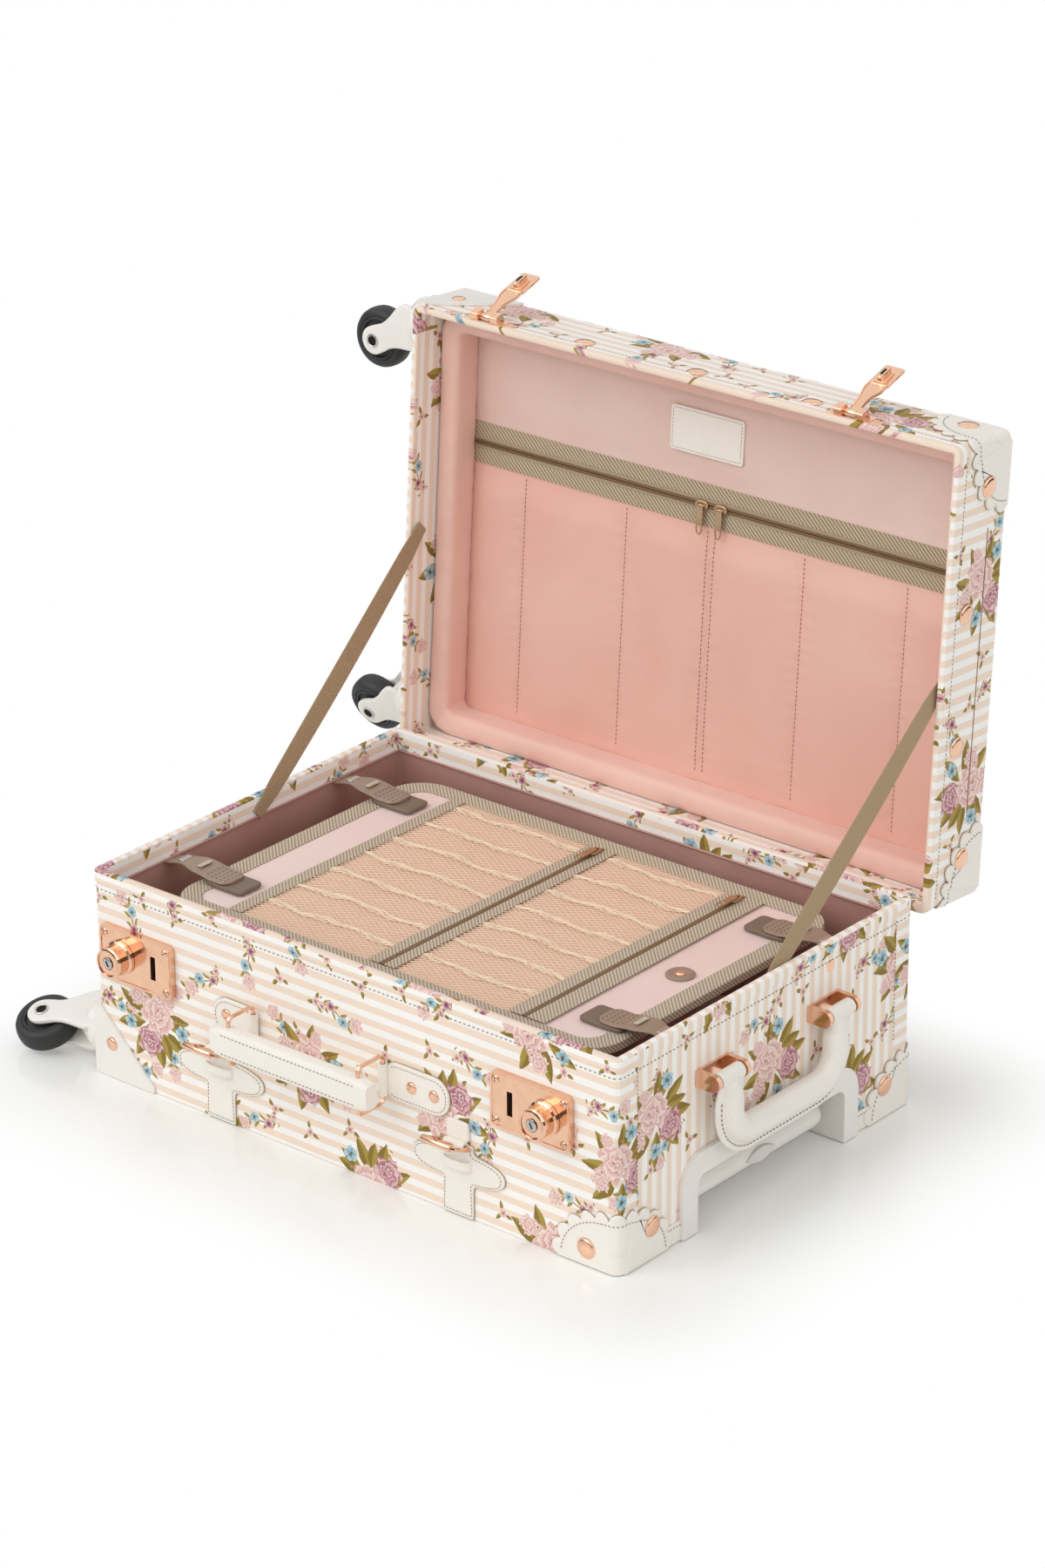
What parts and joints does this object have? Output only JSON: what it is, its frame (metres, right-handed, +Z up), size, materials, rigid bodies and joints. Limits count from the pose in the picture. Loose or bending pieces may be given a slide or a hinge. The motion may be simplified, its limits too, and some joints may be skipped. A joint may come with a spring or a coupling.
{
  "type": "cabin suitcase",
  "caption": "Retro hard cabin suitcase lying open: striped fabric tray and hinged lid, turning locks with hasps, carry handles, trolley handle and swivel casters.",
  "frame": {"origin": "middle of the tray's underside, which the case lies on", "axes": "+X along the case from the caster end to the trolley end, -Y towards the opening side with the locks, +Z up"},
  "size_m": [0.6148, 0.4795, 0.5343],
  "materials": {
    "striped_fabric": "fine twill",
    "off_white_leather": "grained",
    "white_plastic": "satin",
    "black_rubber": "matte",
    "rose_gold_plate": "polished",
    "aluminium_tube": "brushed",
    "pink_satin": "satin",
    "pale_pink_board": "smooth",
    "peach_net": "open net",
    "taupe_moulding": "matte",
    "tan_webbing": "woven"
  },
  "bodies": {
    "tray": {"base_shell": "striped_fabric", "base_guard_front": "off_white_leather", "base_guard_rear": "off_white_leather", "base_wheel_housing_front": "white_plastic", "base_wheel_housing_rear": "white_plastic", "lock_plate_left": "rose_gold_plate", "lock_plate_right": "rose_gold_plate", "handle_tab_left": "off_white_leather", "handle_tab_right": "off_white_leather", "belt_left": "off_white_leather", "belt_right": "off_white_leather", "end_handle_bracket_front": "rose_gold_plate", "end_handle_bracket_rear": "rose_gold_plate", "trolley_housing": "white_plastic", "trolley_guide": "aluminium_tube", "hinge_base_leaf": "rose_gold_plate", "lid_stay_left": "tan_webbing", "lid_stay_right": "tan_webbing", "divider_clip_left_front": "taupe_moulding", "divider_clip_left_rear": "taupe_moulding", "divider_clip_right_front": "taupe_moulding", "divider_clip_right_rear": "taupe_moulding"},
    "lid": {"lid_shell": "striped_fabric", "lid_padded_roll": "pink_satin", "lid_pocket_panel": "pink_satin", "lid_guard_front": "off_white_leather", "lid_guard_rear": "off_white_leather", "lid_wheel_housing_front": "white_plastic", "lid_wheel_housing_rear": "white_plastic", "hinge_lid_leaf": "rose_gold_plate", "hasp_plate_left": "rose_gold_plate", "hasp_plate_right": "rose_gold_plate"},
    "hasp_left": {"hasp_left": "rose_gold_plate"},
    "hasp_right": {"hasp_right": "rose_gold_plate"},
    "lock_knob_left": {"lock_knob_left": "rose_gold_plate"},
    "lock_knob_right": {"lock_knob_right": "rose_gold_plate"},
    "handle_ring_left": {"handle_ring_left": "rose_gold_plate"},
    "handle_ring_right": {"handle_ring_right": "rose_gold_plate"},
    "front_handle": {"front_handle": "off_white_leather"},
    "buckle_left": {"buckle_left": "rose_gold_plate"},
    "buckle_right": {"buckle_right": "rose_gold_plate"},
    "end_handle": {"end_handle": "off_white_leather"},
    "trolley": {"trolley_tubes": "aluminium_tube", "trolley_grip": "white_plastic"},
    "trolley_button": {"trolley_button": "white_plastic"},
    "divider": {"divider_board": "pale_pink_board", "net_pocket_left": "peach_net", "net_pocket_right": "peach_net"},
    "net_zip_slider_middle": {"net_zip_slider_middle": "rose_gold_plate"},
    "net_zip_slider_right": {"net_zip_slider_right": "rose_gold_plate"},
    "lid_zip_slider_left": {"lid_zip_slider_left": "rose_gold_plate"},
    "lid_zip_slider_right": {"lid_zip_slider_right": "rose_gold_plate"},
    "base_fork_front": {"base_caster_front_fork": "white_plastic"},
    "base_fork_rear": {"base_caster_rear_fork": "white_plastic"},
    "lid_fork_front": {"lid_caster_front_fork": "white_plastic"},
    "lid_fork_rear": {"lid_caster_rear_fork": "white_plastic"},
    "base_wheel_front": {"base_caster_front_wheel": "black_rubber"},
    "base_wheel_rear": {"base_caster_rear_wheel": "black_rubber"},
    "lid_wheel_front": {"lid_caster_front_wheel": "black_rubber"},
    "lid_wheel_rear": {"lid_caster_rear_wheel": "black_rubber"}
  },
  "joints": [
    {"name": "lid_hinge", "type": "hinge", "parent": "tray", "child": "lid", "pos_m": [0, 0.182, 0.147], "axis": [1, 0, 0], "range_deg": [0, 94], "deforming": ["lid_stay_left", "lid_stay_right"]},
    {"name": "hasp_left_fold", "type": "hinge", "parent": "lid", "child": "hasp_left", "pos_m": [-0.186, 0.21042, 0.5104], "axis": [1, 0, 0], "range_deg": [0, 158]},
    {"name": "hasp_right_fold", "type": "hinge", "parent": "lid", "child": "hasp_right", "pos_m": [0.157, 0.21042, 0.5104], "axis": [1, 0, 0], "range_deg": [0, 158]},
    {"name": "lock_knob_left_turn", "type": "hinge", "parent": "tray", "child": "lock_knob_left", "pos_m": [-0.218, -0.1728, 0.107], "axis": [0, -1, 0], "range_deg": [0, 90]},
    {"name": "lock_knob_right_turn", "type": "hinge", "parent": "tray", "child": "lock_knob_right", "pos_m": [0.189, -0.1728, 0.107], "axis": [0, -1, 0], "range_deg": [0, 90]},
    {"name": "handle_ring_left_turn", "type": "hinge", "parent": "tray", "child": "handle_ring_left", "pos_m": [-0.087, -0.1764, 0.088], "axis": [0, 0, 1], "range_deg": [-50, 50]},
    {"name": "handle_ring_right_turn", "type": "hinge", "parent": "tray", "child": "handle_ring_right", "pos_m": [0.038, -0.1764, 0.088], "axis": [0, 0, 1], "range_deg": [-50, 50]},
    {"name": "front_handle_turn", "type": "hinge", "parent": "handle_ring_left", "child": "front_handle", "pos_m": [-0.087, -0.2034, 0.088], "axis": [0, 0, 1], "range_deg": [-50, 50]},
    {"name": "buckle_left_flip", "type": "hinge", "parent": "tray", "child": "buckle_left", "pos_m": [-0.124, -0.177, 0.058], "axis": [-1, 0, 0], "range_deg": [-100, 25]},
    {"name": "buckle_right_flip", "type": "hinge", "parent": "tray", "child": "buckle_right", "pos_m": [0.106, -0.177, 0.058], "axis": [-1, 0, 0], "range_deg": [-100, 25]},
    {"name": "end_handle_swing", "type": "hinge", "parent": "tray", "child": "end_handle", "pos_m": [0.265, 0, 0.121], "axis": [0, -1, 0], "range_deg": [0, 120]},
    {"name": "trolley_slide", "type": "slide", "parent": "tray", "child": "trolley", "axis": [1, 0, 0], "range_m": [0, 0.33]},
    {"name": "trolley_button_press", "type": "slide", "parent": "trolley", "child": "trolley_button", "axis": [-1, 0, 0], "range_m": [0, 0.0025], "stiffness_N_per_m": 600},
    {"name": "divider_lift", "type": "slide", "parent": "tray", "child": "divider", "axis": [0, 0, 1], "range_m": [0, 0.02], "deforming": ["divider_clip_left_front", "divider_clip_left_rear", "divider_clip_right_front", "divider_clip_right_rear"]},
    {"name": "net_zip_middle_slide", "type": "slide", "parent": "divider", "child": "net_zip_slider_middle", "axis": [0, -1, 0], "range_m": [0, 0.22]},
    {"name": "net_zip_right_slide", "type": "slide", "parent": "divider", "child": "net_zip_slider_right", "axis": [0, -1, 0], "range_m": [0, 0.22]},
    {"name": "lid_zip_left_slide", "type": "slide", "parent": "lid", "child": "lid_zip_slider_left", "axis": [-1, 0, 0], "range_m": [0, 0.195]},
    {"name": "lid_zip_right_slide", "type": "slide", "parent": "lid", "child": "lid_zip_slider_right", "axis": [1, 0, 0], "range_m": [0, 0.195]},
    {"name": "base_caster_front_swivel", "type": "hinge", "parent": "tray", "child": "base_fork_front", "pos_m": [-0.265, -0.1485, 0.027], "axis": [-1, 0, 0], "continuous": true},
    {"name": "base_caster_rear_swivel", "type": "hinge", "parent": "tray", "child": "base_fork_rear", "pos_m": [-0.265, 0.1485, 0.027], "axis": [-1, 0, 0], "continuous": true},
    {"name": "lid_caster_front_swivel", "type": "hinge", "parent": "lid", "child": "lid_fork_front", "pos_m": [-0.2705, 0.24035, 0.47974], "axis": [-1, 0, 0], "continuous": true},
    {"name": "lid_caster_rear_swivel", "type": "hinge", "parent": "lid", "child": "lid_fork_rear", "pos_m": [-0.2705, 0.21887, 0.17249], "axis": [-1, 0, 0], "continuous": true},
    {"name": "base_wheel_front_spin", "type": "hinge", "parent": "base_fork_front", "child": "base_wheel_front", "pos_m": [-0.311, -0.16691, 0.01919], "axis": [0, 0.3907, -0.9205], "continuous": true},
    {"name": "base_wheel_rear_spin", "type": "hinge", "parent": "base_fork_rear", "child": "base_wheel_rear", "pos_m": [-0.311, 0.16691, 0.01919], "axis": [0, 0.3907, 0.9205], "continuous": true},
    {"name": "lid_wheel_front_spin", "type": "hinge", "parent": "lid_fork_front", "child": "lid_wheel_front", "pos_m": [-0.3165, 0.24035, 0.45974], "axis": [0, 1, 0], "continuous": true},
    {"name": "lid_wheel_rear_spin", "type": "hinge", "parent": "lid_fork_rear", "child": "lid_wheel_rear", "pos_m": [-0.3165, 0.22636, 0.15395], "axis": [0, 0.9272, 0.3746], "continuous": true}
  ],
  "couplings": [
    {"joint": "handle_ring_right_turn", "follows": "handle_ring_left_turn", "ratio": 1},
    {"joint": "front_handle_turn", "follows": "handle_ring_left_turn", "ratio": -1}
  ]
}
